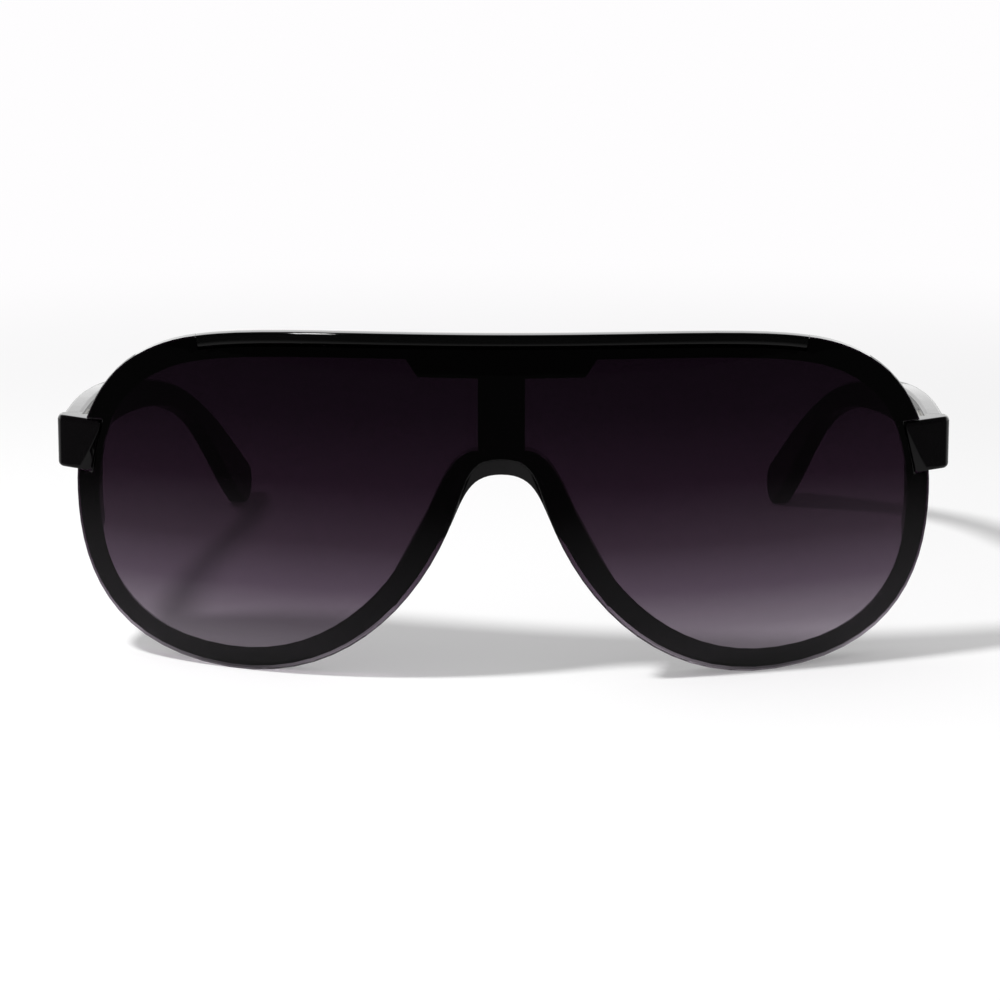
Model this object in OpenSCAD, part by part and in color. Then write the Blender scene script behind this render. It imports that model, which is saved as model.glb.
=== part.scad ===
// Shield sunglasses with one curved lens, resting open on the lens lobes and the temple tips.
// X runs along the width with the wearer's left at +X, Y runs from the lens back to the tips, Z is up.

/* [Stance] */
// Lean of the front, top forwards, in degrees
front_tilt = 7; // [3:0.5:9]

/* [Lens] */
// Width of the lens
lens_w = 142.4; // [136:0.2:146]
// Height of the lens from the lobes to the crown
lens_h = 60.7; // [56:0.1:66]
// Thickness of the lens
lens_t = 2; // [1.6:0.1:2.4]
// Radius of the spherical front face of the lens
lens_r = 120; // [110:1:150]
// Gap of the glue line between lens and rim
bond_gap = 0.05; // [0.03:0.01:0.1]

/* [Frame] */
// How far the lens stands out past the rim
lens_overhang = 0.6; // [0.3:0.1:1]
// Distance from the lens edge to the inner edge of the rim
rim_reach = 4.2; // [3.4:0.1:5]
// Depth of the rim behind the lens
rim_depth = 3.4; // [2.6:0.1:4.2]
// Width of the bridge pad where it leaves the rim
pad_top_w = 30.6; // [24:0.2:36]
// Width of the bridge pad at its lower edge
pad_low_w = 26.8; // [20:0.2:30]
// Height of the bridge pad below the rim
pad_drop = 2.9; // [2:0.1:4]
// Width of the bridge stem
stem_w = 7.5; // [6:0.1:9]
// How far the stem's foot stands above the nose arch of the lens
stem_foot = 1.3; // [0.8:0.1:2]
// How far the saddle hangs below the nose arch of the lens
saddle_drop = 2.7; // [2:0.1:3.2]
// How far the saddle's face lies behind the lens face
saddle_set = 0.6; // [0.4:0.1:1]
// Gap between the lens edge and the frame beside it
lens_edge_gap = 0.12; // [0.08:0.01:0.2]

/* [Nose pads] */
// Reach of a nose pad behind the rim
nose_pad_reach = 7; // [6:0.5:8]
// Height of a nose pad
nose_pad_h = 16; // [13:0.5:18]
// Splay of a nose pad's face, in degrees
nose_pad_splay = 5; // [3:1:6]
// Lean of a nose pad's outer side towards the nose, in degrees
nose_pad_lean = 6; // [4:1:7]

/* [Brow bar] */
// Length of the brow bar along its lower edge
bar_w = 98.6; // [90:0.2:104]
// Height of the brow bar
bar_h = 2.2; // [1.8:0.1:2.8]
// How far the bar stands proud of the lens face
bar_proud = 0.3; // [0.1:0.1:0.6]
// Lean of the bar's end cuts, as run along the bar
bar_slant = 0.5; // [0:0.1:1]
// Radius of the bar's locating pegs
peg_r = 0.55; // [0.45:0.05:0.6]
// Length of the pegs
peg_len = 2; // [1.4:0.1:2.4]
// Distance of the peg axis below the crown edge
peg_set = 1.5; // [1.4:0.05:1.6]
// Clearance round a peg
peg_gap = 0.05; // [0.03:0.01:0.08]

/* [End blocks] */
// How far an end block stands out past the lens edge
block_reach = 3.3; // [3:0.1:4.4]
// Height of an end block, which is also that of the temple's root
block_h = 8.8; // [8:0.1:10]
// Height of the block's middle above the ground
block_z = 37; // [35:0.1:40]
// How far the block's face stands proud of the lens face
block_proud = 0.3; // [0.1:0.1:0.6]
// Radius of the block's outer front corner
block_corner_r = 2.2; // [1.5:0.1:2.8]
// Width of the block over its front lip at the top of the lens notch
lip_top_w = 8.3; // [7.4:0.1:9]
// Width of the block over its front lip at the foot of the lens notch
lip_low_w = 6.2; // [5.4:0.1:7]
// Width of the block's root behind the lens
block_root_w = 7.8; // [7.4:0.1:8.2]

/* [Temples] */
// Distance of the hinge axis behind the block's face at the lens edge
hinge_set = 5; // [4.8:0.1:7]
// How far a temple's outer face lies inside that of its end block
temple_set = 0.8; // [0.5:0.1:1]
// Thickness of a temple
temple_t = 3.2; // [3:0.1:3.8]
// Distance of the tip's centre behind the hinge axis
tip_y = 121.5; // [112:0.5:130]
// Height of a temple at its waist
waist_h = 4.2; // [3.8:0.1:6]
// Height of the paddle tip
tip_h = 8.4; // [7.5:0.1:10]
// Angle at which the tip comes down, in degrees
tip_angle = 32; // [28:1:40]
// Inward lean of the temple in plan, in degrees
toe_in = 11; // [8:0.5:12]
// Plan radius of the bend behind the hinge
toe_in_r = 255; // [200:5:300]
// Length of the temple's straight root behind the hinge axis, in plan
root_len = 7; // [4:0.5:10]
// Gap between a temple's end face and its end block
butt_gap = 0.08; // [0.05:0.01:0.15]

/* [Temple cores] */
// Thickness of the core strip
core_t = 1; // [0.8:0.1:1.2]
// Height of the core strip
core_h = 1.8; // [1.4:0.1:2.2]
// Distance of the core's front end behind the hinge axis
core_start = 13; // [12:0.5:20]
// Clearance round the core
core_gap = 0.03; // [0.02:0.01:0.05]

/* [Hinges] */
// Radius of the hinge barrel
barrel_r = 1.6; // [1.5:0.05:1.8]
// Height of the hinge barrel
barrel_h = 7; // [6.4:0.1:7.6]
// Gap between the barrel and what it turns beside
barrel_gap = 0.2; // [0.15:0.01:0.3]
// Gap between neighbouring knuckles
knuckle_gap = 0.06; // [0.04:0.01:0.1]
// Radius of the hinge screw's shank
screw_r = 0.7; // [0.6:0.05:0.8]
// Radial clearance of the screw in the knuckles
screw_gap = 0.05; // [0.03:0.01:0.08]
// Radius of the screw's head
screw_head_r = 1.1; // [1:0.05:1.25]
// Height of the screw's head
screw_head_h = 0.5; // [0.4:0.05:0.7]
// Thickness of the front hinge's base
base_t = 0.9; // [0.7:0.1:1.2]
// Width of the front hinge's base
base_w = 2.8; // [2.4:0.1:3]
// Length of the tang sunk in the end block
tang_len = 1; // [0.6:0.1:1.2]
// Thickness of the tang
tang_t = 1.2; // [0.9:0.1:1.6]
// Height of the tang
tang_h = 4; // [3:0.1:5]
// Thickness of the temple hinge's leaf
leaf_t = 0.9; // [0.7:0.1:1]
// How deep the leaf lies in the temple
leaf_sink = 0.4; // [0.3:0.05:0.5]
// Height of the leaf
leaf_h = 6; // [5:0.1:6.4]
// Distance of the leaf's rear edge behind the hinge axis
leaf_len = 10.5; // [9.5:0.5:11.5]
// Clearance between sunk metal and its pocket
pocket_gap = 0.05; // [0.03:0.01:0.1]
// Radius of a leaf screw's shank
leaf_screw_r = 0.5; // [0.4:0.05:0.6]
// Radius of a leaf screw's head
leaf_head_r = 0.95; // [0.8:0.05:1.1]
// Height of a leaf screw's head
leaf_head_h = 0.4; // [0.3:0.05:0.5]
// Depth that a leaf screw reaches into the temple
leaf_screw_len = 1.7; // [1.2:0.1:2]
// Distance of the first leaf screw behind the hinge axis
leaf_screw_y = 4; // [3.6:0.1:4.6]
// Distance between the two leaf screws
leaf_screw_pitch = 3.8; // [3:0.1:4.4]

/* [Hidden] */
$fn = 48;
// Facets of the large spherical faces
sphere_fn = 180;
// Straight steps in each of the outline's cubic curves
curve_steps = 14;
// Straight steps in each bend of a temple and round its tip
bend_steps = 12;
// One overrun for all cuts
overrun = 1;

// Lens outline, right half, from the crown round the lobe to the nose arch. Five cubic curves share
// their end points, in shares of half the lens width and of the lens height.
lens_shares = [[0, 1], [0.61, 1], [0.73, 0.952], [0.819, 0.89],
    [0.954, 0.796], [1, 0.632], [1, 0.456],
    [1, 0.24], [0.945, 0], [0.641, 0],
    [0.377, 0], [0.201, 0.245], [0.121, 0.472],
    [0.077, 0.596], [0.086, 0.672], [0, 0.672]];
// Handles of the saddle's curve, as shares of the lens height and of half the lens width
saddle_flank_share = 0.106;
saddle_crown_share = 0.073;
// Handles of the curve from the rim's nose flank to the stem's foot, as shares of the lens height
foot_flank_share = 0.1;
foot_crown_share = 0.066;
// Outline of a nose pad from its upper root round its rear to its lower root, in two cubic curves,
// as shares of its reach and of its height, and its place along the lobe's inner curve
nose_pad_shares = [[0, 0.36], [0.5, 0.5], [1, 0.3], [1, -0.1], [1, -0.42], [0.5, -0.6], [0, -0.32]];
nose_pad_place_share = 0.8;
// Places of the outer pegs along half the bar
peg_share = 0.7;
// Where the temple's straight root ends and where its waist lies, as shares of the reach to the tip
root_share = 0.12;
waist_share = 0.7;
// Handles of the temple's drop, as shares of the reach to the tip
drop_root_share = 0.58;
drop_tip_share = 0.27;
// Rear end of the core strip as a share of the reach to the tip
core_end_share = 0.93;

half_lens = lens_w / 2;
half_w = half_lens + block_reach;
temple_x = half_w - temple_set;
lens_mid = lens_h / 2;
back_r = lens_r - lens_t;
rim_front_r = back_r - bond_gap;
rim_back_r = rim_front_r - rim_depth;
block_low_z = block_z - block_h / 2;
knuckle_count = 5;
knuckle_h = (barrel_h - (knuckle_count - 1) * knuckle_gap) / knuckle_count;
bore_r = screw_r + screw_gap;
recess = barrel_r + barrel_gap;
hinge_x = temple_x - temple_t - recess;
leaf_inner = recess + leaf_sink - leaf_t;
leaf_start = sqrt(recess * recess - leaf_inner * leaf_inner);

function cubic(a, b, c, d, first, steps) = [for (i = [first:steps]) let (t = i / steps)
    pow(1 - t, 3) * a + 3 * pow(1 - t, 2) * t * b + 3 * (1 - t) * t * t * c + t * t * t * d];
function unit(v) = v / norm(v);
function right_of(v) = [v.y, -v.x];
function polar(r, a) = r * [cos(a), sin(a)];
function smooth(t) = let (s = max(0, min(1, t))) s * s * (3 - 2 * s);
function reversed(pts) = [for (i = [len(pts) - 1:-1:0]) pts[i]];
// A closed outline from its right half, which starts and ends on the centre line
function mirrored(half) = concat(half, [for (i = [len(half) - 2:-1:1]) [-half[i].x, half[i].y]]);
// Direction of a run of points at one of them; a closed run wraps round
function heading(pts, i, closed) = let (n = len(pts),
    next = closed ? (i + 1) % n : min(i + 1, n - 1),
    before = closed ? (i + n - 1) % n : max(i - 1, 0)) unit(pts[next] - pts[before]);
// A clockwise outline with its points moved inwards along its own normals
function inset(pts, d) = [for (i = [0:len(pts) - 1]) pts[i] + d * right_of(heading(pts, i, true))];
// The point of the outline's crown at a given x
function at_x(pts, x) = [for (i = [0:2 * curve_steps]) if (pts[i].x <= x && pts[i + 1].x > x)
    pts[i] + (pts[i + 1] - pts[i]) * (x - pts[i].x) / (pts[i + 1].x - pts[i].x)][0];
// Points of an arc of radius r that rounds the corner b between a and c, for a clockwise outline
function corner(a, b, c, r) = let (u = unit(a - b), v = unit(c - b), half = acos(u * v) / 2,
    centre = b + unit(u + v) * r / sin(half), start = atan2(-u.x, u.y))
    [for (i = [0:bend_steps]) centre + polar(r, start - (180 - 2 * half) * i / bend_steps)];

function lens_point(i) = [lens_shares[i].x * half_lens, lens_shares[i].y * lens_h];
half_outline = [for (k = [0:4]) each cubic(lens_point(3 * k), lens_point(3 * k + 1),
    lens_point(3 * k + 2), lens_point(3 * k + 3), k == 0 ? 0 : 1, curve_steps)];
lens_outline = mirrored(half_outline);
flank_index = 4 * curve_steps;
flank = lens_point(12);
flank_dir = unit(flank - lens_point(11));
nose_top = lens_point(15).y;

// Depth of a spherical face at a point of the front, and the lift that stands the lobes on the ground
function face_depth(p, r) = lens_r - sqrt(r * r - p.x * p.x - pow(p.y - lens_mid, 2));
front_z = -min([for (p = half_outline)
    face_depth(p, lens_r) * sin(front_tilt) + p.y * cos(front_tilt)]);
// The part stands centred between the foremost point of the lens face and the rear of the tips
foremost_y = lens_r * (cos(front_tilt) - 1) - lens_mid * sin(front_tilt);
function face_y(x) = face_depth([x, block_z], lens_r + block_proud) * cos(front_tilt)
    - block_z * sin(front_tilt);
hinge_y = face_y(half_lens) + hinge_set;
front_y = -(foremost_y + hinge_y + tip_y + tip_h / 2) / 2;
pin_y = hinge_y + front_y;
// Where a point of the front at a given depth stands, once the front leans
function leaned(p, depth) = [p.x, front_y + depth * cos(front_tilt) - p.y * sin(front_tilt),
    front_z + depth * sin(front_tilt) + p.y * cos(front_tilt)];
function on_face(p, r) = leaned(p, face_depth(p, r));

// Frame outline: under the lens edge, then along the saddle's own curve in the nose arch
rim_outline = inset(lens_outline, lens_overhang);
saddle_start = flank - [lens_edge_gap, 0];
saddle_top = [0, nose_top - saddle_drop];
saddle_curve = cubic(saddle_start, saddle_start + saddle_flank_share * lens_h * flank_dir,
    saddle_top + [saddle_crown_share * half_lens, 0], saddle_top, 0, curve_steps);
frame_outline = mirrored(concat([for (i = [0:flank_index - 1]) rim_outline[i]], saddle_curve));
rim_w = rim_reach - lens_overhang;

// Window of one eye: bridge pad, the rim's inner edge, and the curve up to the foot of the stem
rim_inner = inset(lens_outline, rim_reach);
foot_start = rim_inner[flank_index];
foot_end = [stem_w / 2, nose_top + stem_foot];
pad_low_z = lens_h - rim_reach - pad_drop;
window = concat([[stem_w / 2, pad_low_z], [pad_low_w / 2, pad_low_z]],
    [at_x(rim_inner, pad_top_w / 2)],
    [for (i = [0:flank_index]) if (rim_inner[i].x > pad_top_w / 2) rim_inner[i]],
    cubic(foot_start, foot_start + foot_flank_share * lens_h * flank_dir,
        foot_end + [foot_crown_share * lens_h, 0], foot_end, 1, curve_steps));

// Nose pad from the side, and the point of the rim's nose flank that carries it
pad_reach = rim_depth + nose_pad_reach;
function pad_point(i) = [nose_pad_shares[i].x * pad_reach, nose_pad_shares[i].y * nose_pad_h];
pad_side = concat(cubic(pad_point(0), pad_point(1), pad_point(2), pad_point(3), 0, bend_steps),
    cubic(pad_point(3), pad_point(4), pad_point(5), pad_point(6), 1, bend_steps));
pad_index = 3 * curve_steps + round(nose_pad_place_share * curve_steps);
pad_root = rim_outline[pad_index];
pad_dir = heading(rim_outline, pad_index, true);

// Brow bar: along the crown, its ends cut at a slant; grown by a gap and past the crown for its seat
bar_low = inset(lens_outline, bar_h);
bar_end_top = at_x(half_outline, bar_w / 2 + bar_slant);
bar_end_low = at_x(bar_low, bar_w / 2);
function bar_shape(gap, over) = mirrored(concat(
    [for (i = [0:2 * curve_steps]) if (half_outline[i].x < bar_w / 2) half_outline[i] + [0, over]],
    [bar_end_top + [gap, 0] + over * unit(bar_end_top - bar_end_low), bar_end_low + [gap, -gap]],
    [for (i = [2 * curve_steps:-1:0]) if (bar_low[i].x < bar_w / 2) bar_low[i] - [0, gap]]));
peg_line = inset(lens_outline, peg_set);
peg_points = [for (s = [-peg_share, 0, peg_share]) let (p = at_x(peg_line, abs(s) * bar_w / 2))
    [sign(s) * p.x, p.y]];

// End block in plan, its outer front corner rounded, with a step in its back for the hinge barrel
block_inner_x = half_w - block_root_w;
block_inner = [block_inner_x, face_y(block_inner_x)];
block_outer = [half_w, face_y(half_w)];
block_plan = concat(
    [[block_inner_x, hinge_y - recess], [hinge_x + recess, hinge_y - recess],
        [hinge_x + recess, hinge_y], [half_w, hinge_y]],
    corner([half_w, hinge_y], block_outer, block_inner, block_corner_r),
    [block_inner]);
// Inner edge of the block's lip, which leans along the notch in the lens
function lip_x(z) = half_w - lip_low_w - (lip_top_w - lip_low_w) * (z - block_low_z) / block_h;
lip_ends = [0, lens_h];
function lip_zone(gap) = [[lip_x(lip_ends[0]) - gap, lip_ends[0]], [lip_x(lip_ends[1]) - gap, lip_ends[1]],
    [half_w + overrun, lip_ends[1]], [half_w + overrun, lip_ends[0]]];

// Temple from the side, measured from the hinge axis: a spine with a height along it
tip_centre = [tip_y, tip_h / 2];
root_end = [root_share * tip_y, block_z];
spine = concat([for (i = [0:bend_steps - 1])
        [butt_gap + (root_end.x - butt_gap) * i / bend_steps, block_z]],
    cubic(root_end, root_end + [drop_root_share * tip_y, 0],
        tip_centre + polar(drop_tip_share * tip_y, 180 - tip_angle), tip_centre, 0, 2 * bend_steps));
waist_y = waist_share * tip_y;
function temple_h(y) = y < waist_y ? block_h + (waist_h - block_h) * smooth(y / waist_y)
    : waist_h + (tip_h - waist_h) * smooth((y - waist_y) / (tip_y - waist_y));
// One edge of a band along a run of points, at half the given heights from it
function edge(pts, heights, side) = [for (i = [0:len(pts) - 1])
    pts[i] - side * heights[i] / 2 * right_of(heading(pts, i, false))];
temple_run = [for (i = [0:len(spine) - 2]) spine[i]];
temple_heights = [for (p = temple_run) temple_h(p.x)];
temple_side = concat(edge(temple_run, temple_heights, 1),
    [for (i = [0:bend_steps]) tip_centre + polar(tip_h / 2, 90 - tip_angle - 180 * i / bend_steps)],
    reversed(edge(temple_run, temple_heights, -1)));
// Core strip from the side, its ends and edges moved out by a gap for its channel
core_run = [for (p = spine) if (p.x > core_start && p.x < core_end_share * tip_y) p];
function core_side(gap) = let (last = len(core_run) - 1,
    run = [for (i = [0:last]) core_run[i]
        + gap * (i == last ? 1 : i == 0 ? -1 : 0) * heading(core_run, i, false)],
    heights = [for (p = run) core_h + 2 * gap])
    concat(edge(run, heights, 1), reversed(edge(run, heights, -1)));
// Temple in plan: straight root, bend and straight run, a given distance inside its outer face
bend_centre = [temple_x - toe_in_r, hinge_y + root_len];
function plan_edge(d) = concat([[temple_x - d, hinge_y]],
    [for (i = [0:bend_steps]) bend_centre + polar(toe_in_r - d, toe_in * i / bend_steps)],
    [bend_centre + polar(toe_in_r - d, toe_in) + polar(tip_y + tip_h, 90 + toe_in)]);
function plan_band(d, t) = concat(plan_edge(d), reversed(plan_edge(d + t)));

// A solid with a given outline on the lens face; its sides run level from front to back
module front_prism(outline) {
    translate([0, front_y + lens_r, 0]) rotate([90, 0, 0]) linear_extrude(2 * lens_r)
        polygon([for (p = outline) let (q = on_face(p, lens_r)) [q.x, q.z]]);
}
module lens_sphere(r) {
    translate(leaned([0, lens_mid], lens_r)) sphere(r, $fn = sphere_fn);
}
module shell_of(outline, outer_r, inner_r) {
    difference() {
        intersection() {
            front_prism(outline);
            lens_sphere(outer_r);
        }
        lens_sphere(inner_r);
    }
}
module side_prism(outline) {
    translate([0, pin_y, 0]) rotate([90, 0, 90]) linear_extrude(half_w + overrun) polygon(outline);
}
module plan_prism(outline, low_z, h) {
    translate([0, front_y, low_z]) linear_extrude(h) polygon(outline);
}
module both_sides() {
    children();
    mirror([1, 0, 0]) children();
}
module at_pin() {
    translate([hinge_x, pin_y, block_z]) children();
}
// A box from its low corner in X and Y to its high one, standing h high about the hinge's middle
module pin_box(low, high, h) {
    translate([low.x, low.y, -h / 2]) cube([high.x - low.x, high.y - low.y, h]);
}

// The bar's locating pegs, from inside the bar to a given depth in the rim
module pegs(r, depth) {
    for (p = peg_points) translate(on_face(p, lens_r - lens_t / 2)) rotate([-90, 0, 0])
        cylinder(h = face_depth(p, lens_r - lens_t) - face_depth(p, lens_r - lens_t / 2) + depth, r = r);
}
// Room of a block's lip in front of the rim, from which the lens is notched
module lip_space(gap) {
    intersection() {
        front_prism(lip_zone(gap));
        translate([0, front_y, block_low_z - gap])
            cube([half_w + overrun, lens_r, block_h + 2 * gap]);
    }
}
module end_block() {
    intersection() {
        plan_prism(block_plan, block_low_z, block_h);
        union() {
            lip_space(0);
            lens_sphere(rim_front_r);
        }
    }
}
// A nose pad, thinner towards its rear from both sides, with its root in the rim
module nose_pad() {
    intersection() {
        translate(on_face(pad_root, rim_front_r))
            rotate([0, atan2(pad_dir.x, pad_dir.y), 0]) intersection() {
                rotate([90, 0, 90 + nose_pad_lean]) linear_extrude(rim_w) polygon(pad_side);
                rotate([90, 0, 90 - nose_pad_splay]) linear_extrude(2 * rim_w) polygon(pad_side);
            }
        lens_sphere(rim_front_r);
    }
}
// Base and tang of the front hinge, grown by a gap for their seat in the block
module hinge_base(gap) {
    pin_box([-base_w / 2 - gap, -recess - base_t - gap], [base_w / 2 + gap, -recess + gap],
        barrel_h + 2 * gap);
    pin_box([-tang_t / 2 - gap, -recess - base_t - tang_len - gap], [tang_t / 2 + gap, -recess],
        tang_h + 2 * gap);
}
// Room behind the block's step in which the barrel and the temple's root turn
module hinge_room() {
    pin_box([-recess - overrun, -recess], [recess, lens_r], block_h + 2 * barrel_gap);
}
module temple_leaf(gap) {
    pin_box([leaf_inner - (gap > 0 ? overrun : 0), leaf_start - gap],
        [leaf_inner + leaf_t + gap, leaf_len + gap], leaf_h + 2 * gap);
}
// Something set on both leaf screws' axes, pointing outwards from the leaf's inner face
module on_leaf_axes() {
    for (i = [0, 1]) translate([leaf_inner, leaf_screw_y + i * leaf_screw_pitch, 0])
        rotate([0, 90, 0]) children();
}
// Knuckles of one half of the hinge, counted from the lowest, with the web that carries each
module knuckles(first, web_low, web_high) {
    for (i = [first:2:knuckle_count - 1])
        translate([0, 0, -barrel_h / 2 + i * (knuckle_h + knuckle_gap)]) {
            cylinder(h = knuckle_h, r = barrel_r);
            translate([web_low.x, web_low.y, 0])
                cube([web_high.x - web_low.x, web_high.y - web_low.y, knuckle_h]);
        }
}

module front_frame() {
    color("#131114") difference() {
        union() {
            difference() {
                shell_of(frame_outline, rim_front_r, rim_back_r);
                both_sides() front_prism(window);
                pegs(peg_r + peg_gap, peg_len + peg_gap);
            }
            difference() {
                shell_of(frame_outline, lens_r - saddle_set, rim_front_r - rim_depth / 2);
                front_prism(inset(lens_outline, -lens_edge_gap));
            }
            both_sides() {
                nose_pad();
                end_block();
            }
        }
        both_sides() at_pin() {
            hinge_base(pocket_gap);
            hinge_room();
        }
    }
}
module shield_lens() {
    color([0.2, 0.15, 0.2, 0.85]) difference() {
        shell_of(lens_outline, lens_r, back_r);
        front_prism(bar_shape(lens_edge_gap, overrun));
        both_sides() lip_space(lens_edge_gap);
    }
}
module brow_bar() {
    color("#1c1a1d") {
        shell_of(bar_shape(0, 0), lens_r + bar_proud, back_r);
        pegs(peg_r, peg_len);
    }
}
module temple() {
    color("#161417") difference() {
        intersection() {
            side_prism(temple_side);
            plan_prism(plan_band(0, temple_t), -overrun, block_z + block_h);
        }
        at_pin() {
            temple_leaf(pocket_gap);
            on_leaf_axes() cylinder(h = leaf_t + leaf_screw_len + pocket_gap,
                r = leaf_screw_r + pocket_gap);
        }
        core_space(core_gap);
    }
}
module core_space(gap) {
    intersection() {
        side_prism(core_side(gap));
        plan_prism(plan_band((temple_t - core_t) / 2 - gap, core_t + 2 * gap), -overrun,
            block_z + block_h);
    }
}
module temple_core() {
    color("#8f9094") core_space(0);
}
module front_hinge() {
    color("#a8a9ad") at_pin() difference() {
        union() {
            hinge_base(0);
            knuckles(0, [-base_w / 2, -recess], [base_w / 2, 0]);
        }
        translate([0, 0, -barrel_h / 2 - overrun]) cylinder(h = barrel_h + 2 * overrun, r = bore_r);
        translate([0, 0, barrel_h / 2 - screw_head_h - screw_gap])
            cylinder(h = screw_head_h + overrun, r = screw_head_r + screw_gap);
    }
}
module temple_hinge() {
    color("#a8a9ad") at_pin() difference() {
        union() {
            temple_leaf(0);
            knuckles(1, [0, 0], [leaf_inner + leaf_t / 2, leaf_start + leaf_t]);
        }
        translate([0, 0, -barrel_h / 2 - overrun]) cylinder(h = barrel_h + 2 * overrun, r = bore_r);
        on_leaf_axes() translate([0, 0, -overrun])
            cylinder(h = leaf_t + 2 * overrun, r = leaf_screw_r + pocket_gap);
    }
}
module hinge_screw() {
    color("#c3c4c8") at_pin() {
        translate([0, 0, -barrel_h / 2]) cylinder(h = barrel_h, r = screw_r);
        translate([0, 0, barrel_h / 2 - screw_head_h]) cylinder(h = screw_head_h, r = screw_head_r);
    }
}
module leaf_screws() {
    color("#c3c4c8") at_pin() on_leaf_axes() {
        translate([0, 0, -leaf_head_h]) cylinder(h = leaf_head_h, r = leaf_head_r);
        cylinder(h = leaf_t + leaf_screw_len, r = leaf_screw_r);
    }
}
module right_side() {
    mirror([1, 0, 0]) children();
}

front_frame();
shield_lens();
brow_bar();
temple();  // temple_left
right_side() temple();  // temple_right
temple_core();  // temple_core_left
right_side() temple_core();  // temple_core_right
front_hinge();  // front_hinge_left
right_side() front_hinge();  // front_hinge_right
temple_hinge();  // temple_hinge_left
right_side() temple_hinge();  // temple_hinge_right
hinge_screw();  // hinge_screw_left
right_side() hinge_screw();  // hinge_screw_right
leaf_screws();  // leaf_screws_left
right_side() leaf_screws();  // leaf_screws_right
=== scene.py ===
import math
import bpy
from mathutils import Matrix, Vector


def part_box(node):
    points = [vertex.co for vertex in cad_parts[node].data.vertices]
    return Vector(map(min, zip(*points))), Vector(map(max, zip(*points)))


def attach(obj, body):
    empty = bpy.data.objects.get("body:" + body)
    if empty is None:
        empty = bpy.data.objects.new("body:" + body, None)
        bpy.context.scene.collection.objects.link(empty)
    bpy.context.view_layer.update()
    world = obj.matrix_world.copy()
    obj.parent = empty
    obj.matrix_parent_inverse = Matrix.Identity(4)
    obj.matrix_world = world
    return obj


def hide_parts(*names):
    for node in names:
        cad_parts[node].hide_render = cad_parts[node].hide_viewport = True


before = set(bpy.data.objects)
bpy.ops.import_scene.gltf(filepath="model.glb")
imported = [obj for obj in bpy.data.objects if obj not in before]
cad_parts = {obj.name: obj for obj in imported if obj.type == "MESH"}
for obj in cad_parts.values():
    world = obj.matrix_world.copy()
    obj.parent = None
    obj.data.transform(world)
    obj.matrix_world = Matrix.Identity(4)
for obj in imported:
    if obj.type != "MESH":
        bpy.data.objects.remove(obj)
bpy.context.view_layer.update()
bpy.context.scene.view_settings.view_transform = "Standard"
print("frame loaded:", len(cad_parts), "nodes")

# the dictionaries give lengths in mm, and Blender works in metres
mm = 0.001
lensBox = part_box("shield_lens")
hingeLevel = sum(corner.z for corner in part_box("hinge_screw_left")) / 2 / mm


def linear(hexColor):
    # sRGB hex to the linear colour that Blender's sockets take
    parts = [int(hexColor[i:i + 2], 16) / 255 for i in (1, 3, 5)]
    return [p / 12.92 if p <= 0.04045 else ((p + 0.055) / 1.055) ** 2.4 for p in parts] + [1.0]


# the camera stands as far off and as high as the photograph's perspective says

cameraSet = {
    "focal": 133.5,       # mm
    "sensor": 36,         # mm
    "distance": 600,      # mm, from the point it is aimed at
    "height": 12.0,       # degrees above the floor
    "turn": -0.62,        # degrees, towards the wearer's right
    "side": 6.1,          # mm, towards the wearer's left
    "aim": 31.5,          # mm, height of the aimed point above the floor
    "aimDepth": 4.6,      # mm, from the lens's foremost point back to the aimed point
    "nearest": 10,        # mm, what is closer isn't drawn
}

rise = math.radians(cameraSet["height"])
bpy.ops.object.camera_add(
    location=(cameraSet["side"] * mm,
              lensBox[0].y + cameraSet["aimDepth"] * mm - cameraSet["distance"] * mm * math.cos(rise),
              cameraSet["aim"] * mm + cameraSet["distance"] * mm * math.sin(rise)),
    rotation=(math.radians(90) - rise, 0, -math.radians(cameraSet["turn"])))
camera = bpy.context.object
camera.name = "photoCamera"
camera.data.lens = cameraSet["focal"]
camera.data.sensor_width = cameraSet["sensor"]
camera.data.clip_start = cameraSet["nearest"] * mm
bpy.context.scene.camera = camera


# shaping helpers

meshSet = {
    "merge": 0.002,       # mm, corners closer than this become one
    "flat": 0.4,          # degrees, faces that meet flatter than this become one
    "sharp": 0.5,         # radians, only edges sharper than this are rounded
    "crisp": 32,          # degrees, edges sharper than this stay crisp in the shading
    "wedgeMargin": 0.08,  # mm, how far a cutting wedge reaches past its corners
}


def onlyActive(obj):
    bpy.ops.object.select_all(action="DESELECT")
    obj.select_set(True)
    bpy.context.view_layer.objects.active = obj


def copyOfNode(nodeName, pieceName, merge=meshSet["merge"]):
    # a CAD node's mesh is loose triangles, so its copy is merged and its flat faces joined
    # a wider merge closes the slivers that a bevel would turn into spikes
    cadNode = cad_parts[nodeName]
    piece = bpy.data.objects.new(pieceName, cadNode.data.copy())
    bpy.context.scene.collection.objects.link(piece)
    piece.data.materials.clear()
    onlyActive(piece)
    bpy.ops.object.mode_set(mode="EDIT")
    bpy.ops.mesh.select_all(action="SELECT")
    bpy.ops.mesh.remove_doubles(threshold=merge * mm)
    bpy.ops.mesh.dissolve_limited(angle_limit=math.radians(meshSet["flat"]))
    bpy.ops.object.mode_set(mode="OBJECT")
    return piece


def normalsByEdge(mesh):
    # the normals of the faces on each edge
    sides = {}
    for face in mesh.polygons:
        for key in face.edge_keys:
            sides.setdefault(key, []).append(face.normal)
    return sides


def openEdit(piece):
    onlyActive(piece)
    bpy.ops.object.mode_set(mode="EDIT")
    bpy.ops.mesh.select_mode(type="EDGE")
    bpy.ops.mesh.select_all(action="DESELECT")
    bpy.ops.object.mode_set(mode="OBJECT")


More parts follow.
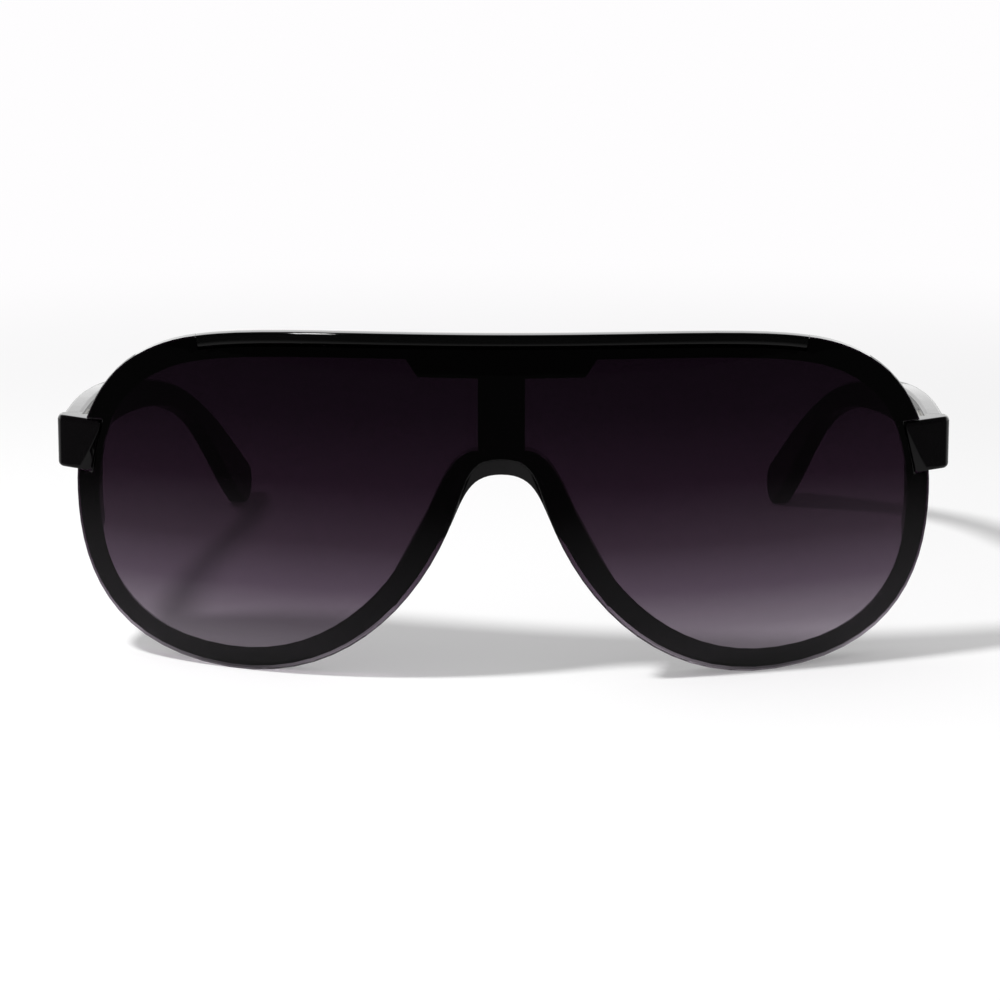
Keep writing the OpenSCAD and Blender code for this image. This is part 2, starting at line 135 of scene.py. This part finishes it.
def roundChosen(piece, width, segments, chosen):
    # rounds the sharp edges that chosen(forward normal, other normal, middle in mm) picks
    openEdit(piece)
    mesh = piece.data
    sides = normalsByEdge(mesh)
    picked = 0
    for edge in mesh.edges:
        pair = sorted(sides[edge.key], key=lambda normal: normal.y)
        middle = (mesh.vertices[edge.vertices[0]].co + mesh.vertices[edge.vertices[1]].co) / 2 / mm
        edge.select = (len(pair) == 2 and pair[0].angle(pair[1]) > meshSet["sharp"]
                       and chosen(pair[0], pair[1], middle))
        picked += edge.select
    bpy.ops.object.mode_set(mode="EDIT")
    bpy.ops.mesh.bevel(offset=width * mm, segments=segments, affect="EDGES", clamp_overlap=False)
    bpy.ops.object.mode_set(mode="OBJECT")
    return picked


def evenShade(piece):
    onlyActive(piece)
    bpy.ops.object.shade_smooth_by_angle(angle=math.radians(meshSet["crisp"]))
    even = piece.modifiers.new("evenShade", "WEIGHTED_NORMAL")
    even.keep_sharp = True
    bpy.ops.object.modifier_apply(modifier="evenShade")


def cutCorner(piece, corners, reach):
    # shaves off what stands in front of the plane through three corners (mm)
    first, second, third = [Vector(corner) * mm for corner in corners]
    out = (second - first).cross(third - first).normalized()
    out = -out if out.y > 0 else out
    middle = (first + second + third) / 3
    margin = meshSet["wedgeMargin"]
    ring = [corner + (corner - middle).normalized() * margin * mm for corner in (first, second, third)]
    bpy.ops.mesh.primitive_cylinder_add(vertices=3, radius=mm, depth=mm)
    wedge = bpy.context.object
    for vertex in wedge.data.vertices:
        place = ring[vertex.index // 2]
        vertex.co = place + (out * reach * mm if vertex.index % 2 else Vector((0, 0, 0)))
    bpy.ops.object.mode_set(mode="EDIT")
    bpy.ops.mesh.select_all(action="SELECT")
    bpy.ops.mesh.normals_make_consistent(inside=False)
    bpy.ops.object.mode_set(mode="OBJECT")
    shave = piece.modifiers.new("shave", "BOOLEAN")
    shave.operation = "DIFFERENCE"
    shave.solver = "EXACT"
    shave.object = wedge
    onlyActive(piece)
    bpy.ops.object.modifier_apply(modifier="shave")
    onlyActive(wedge)
    bpy.ops.object.delete()


# materials

def node(tree, kind, x, y, settings=None, links=None):
    # adds one node with its settings, and links its inputs from (node, output) pairs
    made = tree.nodes.new(kind)
    made.location = (x, y)
    for key, value in (settings or {}).items():
        if isinstance(key, int) or key in made.inputs:
            made.inputs[key].default_value = value
        else:
            setattr(made, key, value)
    for key, source in (links or {}).items():
        tree.links.new(source[0].outputs[source[1]], made.inputs[key])
    return made


def newMaterial(name):
    material = bpy.data.materials.new(name)
    material.use_nodes = True
    material.node_tree.nodes.clear()
    return material, material.node_tree


nylonSet = {
    "flow": 11.1,         # mm, width of the flow marks that the melt leaves
    "pits": 0.83,         # mm, the mould's texture is finer and is drawn this coarse so that it shows
    "pitDepth": 0.02,     # mm
    "roughSpread": (0.8, 1.25), "toneSpread": (0.85, 1.15),    # times, from mark to mark
    "ior": 1.35,          # from nylon's 1.53, lowered until its reflections were as dim as the real ones
}


def glossNylon(name, hexColor, roughness):
    # polished injection-moulded nylon: deep black, sharp reflections, a trace of mould texture
    material, tree = newMaterial(name)
    place = node(tree, "ShaderNodeTexCoord", -900, 0)
    flow = node(tree, "ShaderNodeTexNoise", -700, 100,
                {"Scale": 1 / (nylonSet["flow"] * mm), "Detail": 3.0, "Roughness": 0.5},
                {"Vector": (place, "Object")})
    smoother, rougher = nylonSet["roughSpread"]
    rough = node(tree, "ShaderNodeMapRange", -500, 100,
                 {"From Min": 0.3, "From Max": 0.7,
                  "To Min": roughness * smoother, "To Max": roughness * rougher}, {"Value": (flow, 0)})
    fine = node(tree, "ShaderNodeTexNoise", -700, -200,
                {"Scale": 1 / (nylonSet["pits"] * mm), "Detail": 2.0}, {"Vector": (place, "Object")})
    tone = node(tree, "ShaderNodeValToRGB", -500, 350, None, {"Fac": (flow, 0)})
    for element, times in zip(tone.color_ramp.elements, nylonSet["toneSpread"]):
        element.color = [c * times for c in linear(hexColor)[:3]] + [1]
    bump = node(tree, "ShaderNodeBump", -500, -200,
                {"Strength": 0.06, "Distance": nylonSet["pitDepth"] * mm}, {"Height": (fine, 0)})
    shader = node(tree, "ShaderNodeBsdfPrincipled", -200, 0, {"IOR": nylonSet["ior"]},
                  {"Base Color": (tone, 0), "Roughness": (rough, 0), "Normal": (bump, 0)})
    node(tree, "ShaderNodeOutputMaterial", 100, 0, None, {"Surface": (shader, 0)})
    return material


def tintedLens(name, stops, patch, drift, ior):
    # dip-tinted polycarbonate: nearly black at the brow, a light mauve smoke at the lobes, and darker again
    # at the very foot, where the darkening is painted shade
    # the dye line wanders by the drift, in patches, and the shadow takes the tint's own colour
    material, tree = newMaterial(name)
    place = node(tree, "ShaderNodeTexCoord", -1300, 0)
    split = node(tree, "ShaderNodeSeparateXYZ", -1100, 0, None, {"Vector": (place, "Object")})
    patches = node(tree, "ShaderNodeTexNoise", -1100, -250, {"Scale": 1 / (patch * mm), "Detail": 2.0},
                   {"Vector": (place, "Object")})
    wander = node(tree, "ShaderNodeMath", -900, -150,
                  {"operation": "MULTIPLY_ADD", 1: 2 * drift * mm, 2: -drift * mm}, {0: (patches, 0)})
    level = node(tree, "ShaderNodeMath", -750, 0, {"operation": "ADD"},
                 {0: (split, "Z"), 1: (wander, 0)})
    dip = node(tree, "ShaderNodeMapRange", -600, 0,
               {"From Min": lensBox[0].z, "From Max": lensBox[1].z, "To Min": 0.0, "To Max": 1.0},
               {"Value": (level, 0)})
    tint = node(tree, "ShaderNodeValToRGB", -400, 150, None, {"Fac": (dip, 0)})
    ramp = tint.color_ramp
    ramp.elements[0].position, ramp.elements[0].color = stops[0][0], linear(stops[0][1])
    ramp.elements[1].position, ramp.elements[1].color = stops[-1][0], linear(stops[-1][1])
    for position, hexColor in stops[1:-1]:
        ramp.elements.new(position).color = linear(hexColor)
    shader = node(tree, "ShaderNodeBsdfPrincipled", -100, 100,
                  {"IOR": ior, "Roughness": 0.015, "Transmission Weight": 1.0}, {"Base Color": (tint, 0)})
    clear = node(tree, "ShaderNodeBsdfTransparent", -100, -450, None, {"Color": (tint, 0)})
    path = node(tree, "ShaderNodeLightPath", -100, 500)
    both = node(tree, "ShaderNodeMixShader", 200, 0, None,
                {0: (path, "Is Shadow Ray"), 1: (shader, 0), 2: (clear, 0)})
    node(tree, "ShaderNodeOutputMaterial", 400, 0, None, {"Surface": (both, 0)})
    return material


metalSet = {
    "thin": 14.0,         # times, how much thinner a mark is than long
    "markDepth": 0.02,    # mm
    "roughSpread": (0.7, 1.4), "toneSpread": (0.8, 1.0),       # times, from mark to mark
}


def hingeMetal(name, hexColor, roughness, markLength):
    # rolled and tumbled hinge metal: satin, with fine level marks, drawn coarser so that they show
    material, tree = newMaterial(name)
    place = node(tree, "ShaderNodeTexCoord", -900, 0)
    stretch = node(tree, "ShaderNodeMapping", -750, 0, {"Scale": (1.0, 1.0, metalSet["thin"])},
                   {"Vector": (place, "Object")})
    marks = node(tree, "ShaderNodeTexNoise", -550, 0, {"Scale": 1 / (markLength * mm), "Detail": 4.0},
                 {"Vector": (stretch, 0)})
    smoother, rougher = metalSet["roughSpread"]
    rough = node(tree, "ShaderNodeMapRange", -350, 100,
                 {"To Min": roughness * smoother, "To Max": roughness * rougher}, {"Value": (marks, 0)})
    tone = node(tree, "ShaderNodeValToRGB", -350, 350, None, {"Fac": (marks, 0)})
    for element, times in zip(tone.color_ramp.elements, metalSet["toneSpread"]):
        element.color = [c * times for c in linear(hexColor)[:3]] + [1]
    bump = node(tree, "ShaderNodeBump", -350, -150,
                {"Strength": 0.1, "Distance": metalSet["markDepth"] * mm}, {"Height": (marks, 0)})
    shader = node(tree, "ShaderNodeBsdfPrincipled", -100, 0, {"Metallic": 1.0},
                  {"Base Color": (tone, 0), "Roughness": (rough, 0), "Normal": (bump, 0)})
    node(tree, "ShaderNodeOutputMaterial", 200, 0, None, {"Surface": (shader, 0)})
    return material


# the front

frontSet = {
    "merge": 0.02,                            # mm
    "color": "#050405", "roughness": 0.06,
    "block": {                                # the end block on each side
        "edge": 0.8, "steps": 3,              # mm, its rounding
        "half": 4.4, "slack": 0.1,            # mm, half its height, about the hinge
        "from": 66.6, "rear": -48.9,          # mm, its edges are rounded outside and ahead of these
        "root": (72.5, -52.5),                # mm, but not where they are both inside and behind these
        "ahead": 0.3, "aside": 0.8,           # parts of a unit normal
        "facet": ((66.7, -56.9, 40.6), (70.9, -53.85, 32.5), (68.6, -54.5, 32.5)),    # mm, left block
        "facetReach": 5,                      # mm
    },
    "saddle": {                               # the lip over the nose
        "back": 1.1, "inward": 2.4,           # mm, how far it is tipped, and how far up it is felt
        "half": 11, "fade": 3,                # mm, half its width, and the fade at its ends
        "low": 27, "top": 36.5,               # mm, heights between which it lies
        "ahead": 0.8, "aside": 0.4,           # parts of a unit normal
        "melt": 14,                           # degrees, the tipped faces join into larger ones
    },
    "relief": {                               # the windows' lower walls
        "reach": 1.5, "inward": 4,            # mm, how far they lean, and how far over the rear it is felt
        "below": 30, "fade": 12,              # mm, height below which it begins, and how soon it is full
        "beside": 17, "sideFade": 3,          # mm, the same beside the nose
        "speck": 0.02, "large": 4,            # mm2, faces left out below, faces that give the sphere above
        "behind": 0.6, "shell": 0.75,         # parts of a unit normal: rear faces, those for the sphere
        "aside": 0.3, "upward": 0.12,         # parts of a unit normal: window walls
        "rearRadius": 114.5,                  # mm, the rear is this sphere
    },
}

block = frontSet["block"]
frameGloss = glossNylon("mouldedNylonFrame", frontSet["color"], frontSet["roughness"])
frontPiece = copyOfNode("front_frame", "frontFrame", frontSet["merge"])


def isBlockRim(forward, other, middle):
    level, out = abs(middle.z - hingeLevel), abs(middle.x)
    return (abs(level - block["half"]) < block["slack"] and out > block["from"] and middle.y < block["rear"]
            and (forward.y < -block["ahead"] or max(abs(forward.x), abs(other.x)) > block["aside"])
            and not (out < block["root"][0] and middle.y > block["root"][1]))


def nearestShift(mesh, spot, lines, shifts, inward):
    # the shift of the nearest point on the lines, fading to nothing at this distance (mm)
    best = None
    for first, second in lines:
        start, end = mesh.vertices[first].co, mesh.vertices[second].co
        along = max(0, min(1, (spot - start).dot(end - start) / (end - start).length_squared))
        gap = (spot - start.lerp(end, along)).length / mm
        if gap < inward and (best is None or gap < best[0]):
            best = (gap, shifts[first].lerp(shifts[second], along) * (1 - gap / inward))
    return best and best[1]


def leanSaddle(piece, saddle):
    # tips the saddle's lower lip back, so that it faces the floor as a rounded bridge does
    mesh = piece.data
    front, under = set(), set()
    for face in mesh.polygons:
        for index in face.vertices:
            if face.normal.y < -saddle["ahead"]:
                front.add(index)
            elif abs(face.normal.y) < saddle["aside"] and face.normal.z < 0:
                under.add(index)
    lip = {i for i in front & under
           if abs(mesh.vertices[i].co.x) < saddle["half"] * mm
           and saddle["low"] * mm < mesh.vertices[i].co.z < saddle["top"] * mm}
    shifts = {}
    for index in lip:
        toEnd = saddle["half"] - abs(mesh.vertices[index].co.x) / mm
        shifts[index] = Vector((0, saddle["back"] * mm * min(1, toEnd / saddle["fade"]), 0))
    lines = [edge.vertices for edge in mesh.edges if all(i in lip for i in edge.vertices)]
    pushed = {i: nearestShift(mesh, mesh.vertices[i].co, lines, shifts, saddle["inward"])
              for i in front - lip}
    for index, shift in {**shifts, **pushed}.items():
        if shift:
            mesh.vertices[index].co += shift
    openEdit(piece)
    for face in mesh.polygons:
        face.select = (all(i in front for i in face.vertices)
                       and any(i in lip or pushed.get(i) for i in face.vertices))
    bpy.ops.object.mode_set(mode="EDIT")
    bpy.ops.mesh.select_mode(type="FACE")
    bpy.ops.mesh.dissolve_limited(angle_limit=math.radians(saddle["melt"]))
    bpy.ops.object.mode_set(mode="OBJECT")
    return len(lip)


def relieveWindows(piece, relief):
    # leans the windows' lower walls back, out of the sight line, as the moulding's rounded rear does
    mesh = piece.data
    walls, rear, fixed, centres = {}, set(), set(), []
    for face in mesh.polygons:
        normal = face.normal
        if face.area > relief["speck"] * mm ** 2:
            for index in face.vertices:
                if normal.y > relief["behind"]:
                    rear.add(index)
                elif abs(normal.y) < relief["aside"] and normal.z > relief["upward"]:
                    walls[index] = walls.get(index, Vector()) + normal
                else:
                    fixed.add(index)
        if face.area > relief["large"] * mm ** 2 and normal.y > relief["shell"]:
            centres.append(face.center + normal * relief["rearRadius"] * mm)
    centre = sum(centres, Vector()) / len(centres)
    shifts = {}
    for index in walls.keys() - fixed:
        spot = mesh.vertices[index].co
        share = (max(0, min(1, (relief["below"] - spot.z / mm) / relief["fade"]))
                 * max(0, min(1, (abs(spot.x) / mm - relief["beside"]) / relief["sideFade"])))
        shifts[index] = -walls[index].normalized() * relief["reach"] * share * mm
    # the rear's other corners make way in step, so that the slid edge never folds over them
    lines = [edge.vertices for edge in mesh.edges
             if all(i in shifts and i in rear for i in edge.vertices)]
    pushed = {}
    for index in rear - walls.keys() - fixed:
        shift = nearestShift(mesh, mesh.vertices[index].co, lines, shifts, relief["inward"])
        if shift:
            pushed[index] = shift
    # each corner slides along the rear's sphere and keeps its distance from the centre
    for index, shift in {**shifts, **pushed}.items():
        spot = mesh.vertices[index].co.copy()
        slid = spot + shift - centre
        mesh.vertices[index].co = centre + slid * ((spot - centre).length / slid.length)
    return len(shifts), len(pushed)


print("saddle lip corners", leanSaddle(frontPiece, frontSet["saddle"]))
print("window wall corners", relieveWindows(frontPiece, frontSet["relief"]))
print("block edges", roundChosen(frontPiece, block["edge"], block["steps"], isBlockRim))
for hand in (-1, 1):
    cutCorner(frontPiece, [(x * hand, y, z) for x, y, z in block["facet"]], block["facetReach"])
evenShade(frontPiece)
frontPiece.data.materials.append(frameGloss)
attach(frontPiece, "front")
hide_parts("front_frame")

# the lens

lensSet = {
    "merge": 0.25,                            # mm
    "edge": 0.3, "steps": 3,                  # mm, its rounding
    "edgeTop": 50,                            # mm, above this it lies against the bar and stays crisp
    "faceShare": 0.5,                         # part of a unit normal, for the two faces
    "patch": 28.6, "drift": 0.6,              # mm, how wide and how far the dye line wanders
    "ior": 1.28,                              # from polycarbonate's 1.58, lowered to match the reflections
    # below 0.08 the stops darken again towards the foot: painted shade where the lens meets the floor, not
    # dye
    "stops": ((0.0, "#645e65"), (0.045, "#878088"), (0.08, "#8e858f"), (0.16, "#726873"),
              (0.28, "#4e414f"), (0.42, "#322531"), (0.6, "#1e121d"), (0.8, "#110811"),
              (1.0, "#0c050c")),              # from the lobes' low end to the crown
}

lensTintAndFootShade = tintedLens("dippedPolycarbonateAndFootShade", lensSet["stops"], lensSet["patch"], lensSet["drift"],
                      lensSet["ior"])
lensPiece = copyOfNode("shield_lens", "shieldLens", lensSet["merge"])


def isLensRim(forward, other, middle):
    return middle.z < lensSet["edgeTop"] and max(abs(forward.y), abs(other.y)) > lensSet["faceShare"]


print("lens edges", roundChosen(lensPiece, lensSet["edge"], lensSet["steps"], isLensRim))
evenShade(lensPiece)
lensPiece.data.materials.append(lensTintAndFootShade)
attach(lensPiece, "front")
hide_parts("shield_lens")

# the brow bar: its two front edges are read off the CAD node, and a rounded section is swept along them

barSet = {
    "color": "#020202", "roughness": 0.05,
    "stations": 72, "steps": 6,
    "low": (1.85, 1.3), "top": (0.35, 0.35),  # mm, roundings up the face and into it
    "depth": 2.4,                             # mm
    "ahead": 0.6, "upright": 0.8,             # parts of a unit normal, at the front edges
    "pegRadius": 0.55, "pegSides": 24,        # mm
    # the pegs' places across, their heights, fronts and rears, mm
    "pegs": ((-34.51, 57.3, -69.2, -66.86), (0, 57.7, -74, -72.01), (34.51, 57.3, -69.2, -66.86)),
}

barGloss = glossNylon("polishedNylonBar", barSet["color"], barSet["roughness"])
cadBar = copyOfNode("brow_bar", "cadBar")
barNormals = normalsByEdge(cadBar.data)
frontLines = {1: {}, -1: {}}
for edge in cadBar.data.edges:
    pair = sorted(barNormals[edge.key], key=lambda normal: normal.y)
    if len(pair) == 2 and pair[0].y < -barSet["ahead"] and abs(pair[1].z) > barSet["upright"]:
        for index in edge.vertices:
            spot = cadBar.data.vertices[index].co.copy()
            frontLines[1 if pair[1].z > 0 else -1][round(spot.x, 6)] = spot
onlyActive(cadBar)
bpy.ops.object.delete()


def alongLine(line, share):
    # the point at this share of the line's reach across
    spots = [line[x] for x in sorted(line)]
    across = spots[0].x + (spots[-1].x - spots[0].x) * share
    for left, right in zip(spots, spots[1:]):
        if across <= right.x + 1e-9:
            return left.lerp(right, (across - left.x) / (right.x - left.x))
    return spots[-1]


def barSection(height):
    # points up the face and into it (mm), from the low rear corner round the front and back to it
    turns = [k / barSet["steps"] * math.pi / 2 for k in range(barSet["steps"] + 1)]
    (lowUp, lowIn), (topUp, topIn) = barSet["low"], barSet["top"]
    return ([(0, barSet["depth"])]
            + [(lowUp * (1 - math.cos(t)), lowIn * (1 - math.sin(t))) for t in turns]
            + [(height - topUp * (1 - math.cos(t)), topIn * (1 - math.sin(t))) for t in reversed(turns)]
            + [(height, barSet["depth"]), (0, barSet["depth"])])


bpy.ops.mesh.primitive_grid_add(x_subdivisions=barSet["stations"],
                                y_subdivisions=len(barSection(1)) - 1)
barPiece = bpy.context.object
barPiece.name = "browBar"
rowLength = barSet["stations"] + 1
for station in range(rowLength):
    top, low = (alongLine(frontLines[end], station / barSet["stations"]) for end in (1, -1))
    upFace = (top - low).normalized()
    for k, (up, deep) in enumerate(barSection((top - low).length / mm)):
        corner = barPiece.data.vertices[k * rowLength + station]
        corner.co = low + upFace * up * mm + Vector((0, deep * mm, 0))
bpy.ops.object.mode_set(mode="EDIT")
bpy.ops.mesh.select_all(action="SELECT")
bpy.ops.mesh.remove_doubles(threshold=meshSet["merge"] * mm)
bpy.ops.mesh.fill_holes(sides=0)
bpy.ops.mesh.select_all(action="SELECT")
bpy.ops.mesh.normals_make_consistent(inside=False)
bpy.ops.object.mode_set(mode="OBJECT")
pegs = []
for across, height, pegFront, pegRear in barSet["pegs"]:
    bpy.ops.mesh.primitive_cylinder_add(
        vertices=barSet["pegSides"], radius=barSet["pegRadius"] * mm, depth=(pegRear - pegFront) * mm,
        location=(across * mm, (pegRear + pegFront) / 2 * mm, height * mm),
        rotation=(math.radians(90), 0, 0))
    pegs.append(bpy.context.object)
bpy.ops.object.select_all(action="DESELECT")
for solid in pegs + [barPiece]:
    solid.select_set(True)
bpy.context.view_layer.objects.active = barPiece
bpy.ops.object.join()
bpy.ops.object.shade_smooth_by_angle(angle=math.radians(meshSet["crisp"]))
barPiece.data.materials.append(barGloss)
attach(barPiece, "front")
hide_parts("brow_bar")
print("front shaped")

# the temples, with the metal pieces of each side

templeSet = {
    "merge": 0.2,                             # mm
    "color": "#060506", "roughness": 0.09,
    "edge": 0.7, "steps": 4,                  # mm, its rounding
    "behind": -38, "rootHalf": 4.2,           # mm, ahead of this the hinge's slots keep crisp edges
    "aside": 0.8,                             # part of a unit normal, for the two flat sides
}

templeGloss = glossNylon("mouldedNylonTemple", templeSet["color"], templeSet["roughness"])
nickelSilver = hingeMetal("tumbledNickelSilver", "#b9b7b0", roughness=0.28, markLength=3.33)
springSteel = hingeMetal("rolledSpringSteel", "#a6a8ab", roughness=0.3, markLength=3.85)
screwSteel = hingeMetal("brightScrewSteel", "#c9cbd0", roughness=0.16, markLength=2.5)


def isTempleEdge(forward, other, middle):
    pastHinge = middle.y > templeSet["behind"] or abs(middle.z - hingeLevel) > templeSet["rootHalf"]
    return pastHinge and max(abs(forward.x), abs(other.x)) > templeSet["aside"]


for side in ("left", "right"):
    temple = copyOfNode("temple_" + side, side + "Temple", templeSet["merge"])
    print("temple edges", roundChosen(temple, templeSet["edge"], templeSet["steps"], isTempleEdge))
    evenShade(temple)
    temple.data.materials.append(templeGloss)
    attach(temple, "temple_" + side)
    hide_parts("temple_" + side)
    for name, finish in (("temple_core_", springSteel), ("front_hinge_", nickelSilver),
                         ("temple_hinge_", nickelSilver), ("hinge_screw_", screwSteel),
                         ("leaf_screws_", screwSteel)):
        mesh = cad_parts[name + side].data
        mesh.materials.clear()
        mesh.materials.append(finish)
print("temples and hinges finished")

# the studio: a white sweep that keeps the shadow, a near key lamp on the left, a bright wall behind

studioSet = {
    "floor": 6000,                  # mm
    "paper": "#f6f6f6",
    "backdrop": "#fefdfe",          # what the camera sees of the sweep and the room
    "paperGlow": 0.25,              # share of the backdrop's own white in the paper near the glasses
    "glowReach": (160, 420),        # mm, where that share begins to grow, and where it is full
    "nearGloss": 0.5,               # the floor close to the glasses, in reflections
    "farGloss": 0.08,               # the floor farther in front, in reflections
    "nearHalf": (85, 72),           # mm, half the width and half the depth of the close part
    "nearFade": 80,                 # mm
    "backGloss": 0.6,               # the floor behind, in reflections
    "backReach": (-60, 40),         # mm, where it begins and where it is full
    "wall": 1.5,                    # the bright wall behind, in reflections
    "wallTop": (0.25, 0.6),         # parts of a unit direction: its upper edge fades out
    "wallSide": (0.0, 0.5),         # the same, from the sides to straight behind
    "front": 0.05,                  # the dark room in front, in reflections
    "ambient": 0.48,                # what everything gets from all round
    "keyPlace": (-160, -198, 275),  # mm
    "keyRadius": 21,                # mm
    "keyPower": 36.0,               # W
}
glowReach, nearHalf, backReach = ([length * mm for length in studioSet[name]]
                                  for name in ("glowReach", "nearHalf", "backReach"))

bpy.ops.mesh.primitive_plane_add(size=studioSet["floor"] * mm, location=(0, 0, 0))
floor = bpy.context.object
floor.name = "studioFloor"
floorMaterial, tree = newMaterial("paperSweep")
place = node(tree, "ShaderNodeTexCoord", -1300, 0)
# smooth white paper: lit and shadowed near the glasses, as white as the backdrop farther off
reach = node(tree, "ShaderNodeVectorMath", -1100, 0, {"operation": "LENGTH"}, {0: (place, "Object")})
share = node(tree, "ShaderNodeMapRange", -900, 0,
             {"interpolation_type": "SMOOTHSTEP", "From Min": glowReach[0], "From Max": glowReach[1],
              "To Min": studioSet["paperGlow"], "To Max": 1.0}, {"Value": (reach, "Value")})
path = node(tree, "ShaderNodeLightPath", -1100, 400)
looked = node(tree, "ShaderNodeMath", -900, 400, {"operation": "MAXIMUM"},
              {0: (path, "Is Camera Ray"), 1: (path, "Is Transmission Ray")})
seen = node(tree, "ShaderNodeMath", -700, 200, {"operation": "MULTIPLY"}, {0: (looked, 0), 1: (share, 0)})
paper = node(tree, "ShaderNodeBsdfDiffuse", -500, 0, {"Color": linear(studioSet["paper"])})
glow = node(tree, "ShaderNodeEmission", -500, -200,
            {"Color": linear(studioSet["backdrop"]), "Strength": 1.0})
lit = node(tree, "ShaderNodeMixShader", -200, 0, None, {0: (seen, 0), 1: (paper, 0), 2: (glow, 0)})
# in reflections the floor is bright close to the glasses and behind them, and dark farther in front
mirrored = node(tree, "ShaderNodeMath", -700, 450, {"operation": "SUBTRACT", "use_clamp": True},
                {0: (path, "Is Glossy Ray"), 1: (path, "Is Transmission Ray")})
sides = node(tree, "ShaderNodeVectorMath", -1300, -400, {"operation": "ABSOLUTE"}, {0: (place, "Object")})
past = node(tree, "ShaderNodeVectorMath", -1150, -400, {"operation": "SUBTRACT", 1: (*nearHalf, 0.0)},
            {0: (sides, 0)})
clamped = node(tree, "ShaderNodeVectorMath", -1000, -400, {"operation": "MAXIMUM", 1: (0.0, 0.0, 0.0)},
               {0: (past, 0)})
gap = node(tree, "ShaderNodeVectorMath", -850, -400, {"operation": "LENGTH"}, {0: (clamped, 0)})
ahead = node(tree, "ShaderNodeMapRange", -700, -400,
             {"interpolation_type": "SMOOTHSTEP", "From Min": 0.0, "From Max": studioSet["nearFade"] * mm,
              "To Min": studioSet["nearGloss"], "To Max": studioSet["farGloss"]}, {"Value": (gap, "Value")})
split = node(tree, "ShaderNodeSeparateXYZ", -1150, -650, None, {"Vector": (place, "Object")})
back = node(tree, "ShaderNodeMapRange", -900, -650,
            {"interpolation_type": "SMOOTHSTEP", "From Min": backReach[0], "From Max": backReach[1],
             "To Min": 0.0, "To Max": studioSet["backGloss"]}, {"Value": (split, "Y")})
brighter = node(tree, "ShaderNodeMath", -500, -600, {"operation": "MAXIMUM"},
                {0: (ahead, 0), 1: (back, 0)})
dim = node(tree, "ShaderNodeEmission", -300, -400, {"Color": linear("#ffffff")},
           {"Strength": (brighter, 0)})
both = node(tree, "ShaderNodeMixShader", 0, 0, None, {0: (mirrored, 0), 1: (lit, 0), 2: (dim, 0)})
node(tree, "ShaderNodeOutputMaterial", 200, 0, None, {"Surface": (both, 0)})
floor.data.materials.append(floorMaterial)

# the room: white to the eye, an even light on all pieces, a low bright wall behind in reflections
world = bpy.data.worlds.new("studioWorld")
bpy.context.scene.world = world
world.use_nodes = True
tree = world.node_tree
tree.nodes.clear()
place = node(tree, "ShaderNodeTexCoord", -1300, 0)
split = node(tree, "ShaderNodeSeparateXYZ", -1100, 0, None, {"Vector": (place, "Object")})
lowPart = node(tree, "ShaderNodeMapRange", -900, 100,
               {"interpolation_type": "SMOOTHSTEP", "From Min": studioSet["wallTop"][0],
                "From Max": studioSet["wallTop"][1], "To Min": 1.0, "To Max": 0.0}, {"Value": (split, "Z")})
behind = node(tree, "ShaderNodeMapRange", -900, -200,
              {"interpolation_type": "SMOOTHSTEP", "From Min": studioSet["wallSide"][0],
               "From Max": studioSet["wallSide"][1], "To Min": 0.0, "To Max": 1.0}, {"Value": (split, "Y")})
wall = node(tree, "ShaderNodeMath", -700, 0, {"operation": "MULTIPLY"}, {0: (lowPart, 0), 1: (behind, 0)})
shine = node(tree, "ShaderNodeMath", -500, 0,
             {"operation": "MULTIPLY_ADD", 1: studioSet["wall"], 2: studioSet["front"]}, {0: (wall, 0)})
path = node(tree, "ShaderNodeLightPath", -900, 500)
looked = node(tree, "ShaderNodeMath", -700, 500, {"operation": "MAXIMUM"},
              {0: (path, "Is Camera Ray"), 1: (path, "Is Transmission Ray")})
soft = node(tree, "ShaderNodeBackground", -200, -200,
            {"Color": linear("#ffffff"), "Strength": studioSet["ambient"]})
room = node(tree, "ShaderNodeBackground", -200, -400, {"Color": linear("#ffffff")},
            {"Strength": (shine, 0)})
white = node(tree, "ShaderNodeBackground", -200, 0,
             {"Color": linear(studioSet["backdrop"]), "Strength": 1.0})
around = node(tree, "ShaderNodeMixShader", 0, -200, None,
              {0: (path, "Is Glossy Ray"), 1: (soft, 0), 2: (room, 0)})
both = node(tree, "ShaderNodeMixShader", 200, 0, None, {0: (looked, 0), 1: (around, 0), 2: (white, 0)})
node(tree, "ShaderNodeOutputWorld", 400, 0, None, {"Surface": (both, 0)})

# the key lamp keeps its strength with distance, as if it stood farther off
bpy.ops.object.light_add(type="POINT", location=[c * mm for c in studioSet["keyPlace"]])
key = bpy.context.object
key.name = "keyLamp"
key.data.shadow_soft_size = studioSet["keyRadius"] * mm
key.data.energy = studioSet["keyPower"]
key.data.use_nodes = True
tree = key.data.node_tree
tree.nodes.clear()
even = node(tree, "ShaderNodeLightFalloff", -200, 0, {"Strength": 1.0})
bulb = node(tree, "ShaderNodeEmission", 0, 0, {"Color": linear("#ffffff")},
            {"Strength": (even, "Constant")})
node(tree, "ShaderNodeOutputLight", 200, 0, None, {"Surface": (bulb, 0)})
print("studio set")
